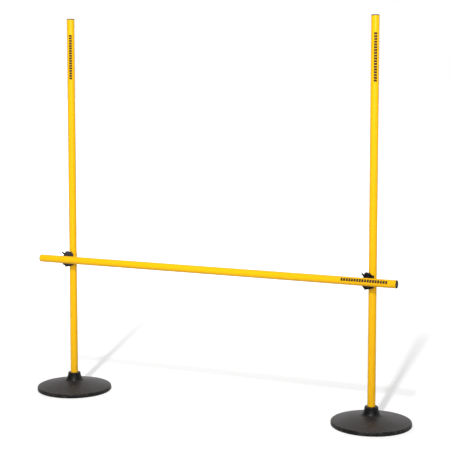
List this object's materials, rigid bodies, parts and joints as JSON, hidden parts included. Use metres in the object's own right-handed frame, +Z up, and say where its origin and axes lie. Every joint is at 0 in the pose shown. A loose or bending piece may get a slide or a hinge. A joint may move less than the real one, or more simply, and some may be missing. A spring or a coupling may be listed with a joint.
{
  "type": "training hurdle",
  "caption": "Height-adjustable training hurdle: round weighted bases hold upright poles, and clips that slide up and down carry a crossbar.",
  "frame": {"origin": "on the floor, midway between the two uprights' axes", "axes": "+X along the crossbar from the left base to the right base, -Y the side that the crossbar hangs on, +Z up"},
  "size_m": [1.67, 0.32, 1.608],
  "materials": {
    "base_rubber": "satin moulded rubber",
    "pole_yellow": "semi-gloss yellow",
    "plug_black": "satin black",
    "clip_black": "satin black"
  },
  "bodies": {
    "bases": {"left_base": "base_rubber", "right_base": "base_rubber"},
    "left_post": {"left_upright": "pole_yellow", "left_upright_top_plug": "plug_black", "left_upright_foot_plug": "plug_black"},
    "right_post": {"right_upright": "pole_yellow", "right_upright_top_plug": "plug_black", "right_upright_foot_plug": "plug_black"},
    "left_holder": {"left_clip": "clip_black"},
    "right_holder": {"right_clip": "clip_black"},
    "bar": {"crossbar": "pole_yellow", "crossbar_left_plug": "plug_black", "crossbar_right_plug": "plug_black"}
  },
  "joints": [
    {"name": "left_post_lift", "type": "slide", "parent": "bases", "child": "left_post", "axis": [0, 0, 1], "range_m": [0, 0.073]},
    {"name": "right_post_lift", "type": "slide", "parent": "bases", "child": "right_post", "axis": [0, 0, 1], "range_m": [0, 0.073]},
    {"name": "left_clip_height", "type": "slide", "parent": "left_post", "child": "left_holder", "axis": [0, 0, 1], "range_m": [-0.46, 0.96]},
    {"name": "right_clip_height", "type": "slide", "parent": "right_post", "child": "right_holder", "axis": [0, 0, 1], "range_m": [-0.46, 0.96]},
    {"name": "crossbar_release", "type": "slide", "parent": "left_holder", "child": "bar", "axis": [0, -0.9659, 0.2588], "range_m": [0, 0.08]}
  ],
  "couplings": [
    {"joint": "right_post_lift", "follows": "left_post_lift", "ratio": 1},
    {"joint": "right_clip_height", "follows": "left_clip_height", "ratio": 1}
  ]
}
